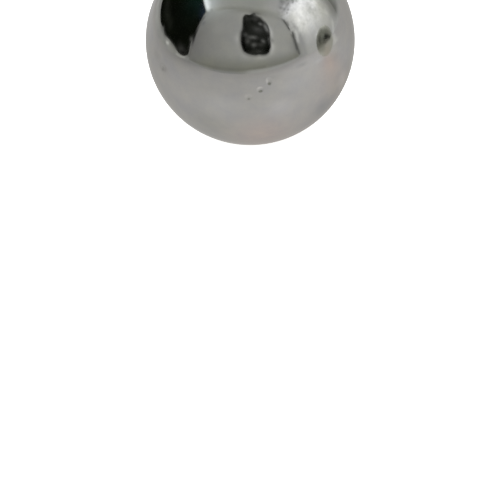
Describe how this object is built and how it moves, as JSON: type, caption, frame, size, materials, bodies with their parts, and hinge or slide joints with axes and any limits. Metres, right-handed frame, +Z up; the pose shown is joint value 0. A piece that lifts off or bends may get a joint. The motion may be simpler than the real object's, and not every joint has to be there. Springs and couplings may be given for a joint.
{
  "type": "steel ball",
  "caption": "Solid round steel ball, ground and polished to a mirror; it rolls, seats or bears load in a race, cup or detent.",
  "frame": {"origin": "centre of the ball", "axes": "+Z up; the ball is the same about every axis, so X and Y are free, and -Y faces the viewer"},
  "size_m": [0.025, 0.025, 0.025],
  "materials": {
    "polished_steel": "polished"
  },
  "bodies": {
    "root": {"ball": "polished_steel"}
  },
  "joints": []
}
